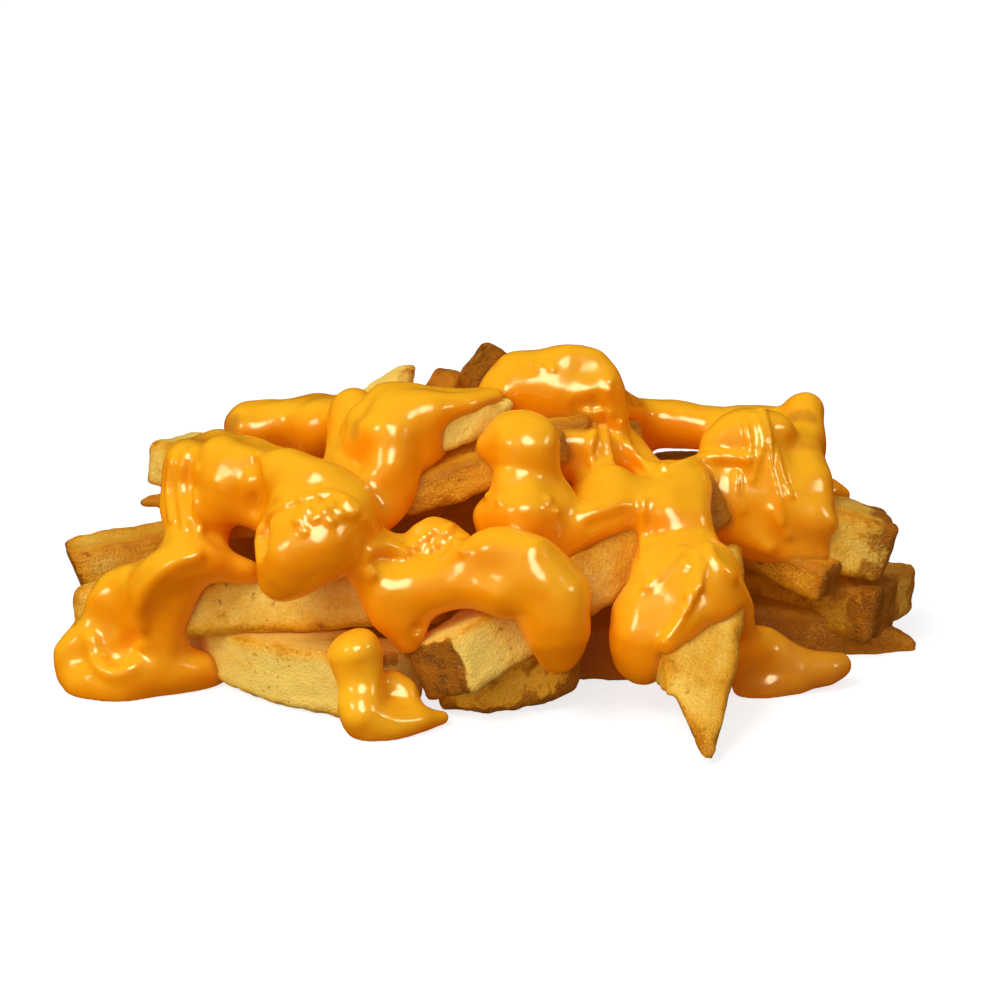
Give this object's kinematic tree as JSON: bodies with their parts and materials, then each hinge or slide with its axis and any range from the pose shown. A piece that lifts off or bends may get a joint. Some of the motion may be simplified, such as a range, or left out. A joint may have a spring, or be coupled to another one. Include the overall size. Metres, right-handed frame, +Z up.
{
  "type": "cheese fries",
  "caption": "Loose heap of thick-cut fried potato sticks with glossy cheese sauce poured over it, lying on its flat underside to set on a plate, tray or table.",
  "frame": {"origin": "middle of the heap's outline box, on the surface that it lies on", "axes": "+X to the right seen from the front, +Y towards the back, +Z up"},
  "size_m": [0.1687, 0.1012, 0.0604],
  "materials": {
    "fried_potato": "dry fried crust, pale to brown",
    "cheese_sauce": "wet and glossy"
  },
  "bodies": {
    "root": {"fries": "fried_potato", "cheese_sauce": "cheese_sauce", "sauce_front_drip": "cheese_sauce"}
  },
  "joints": []
}
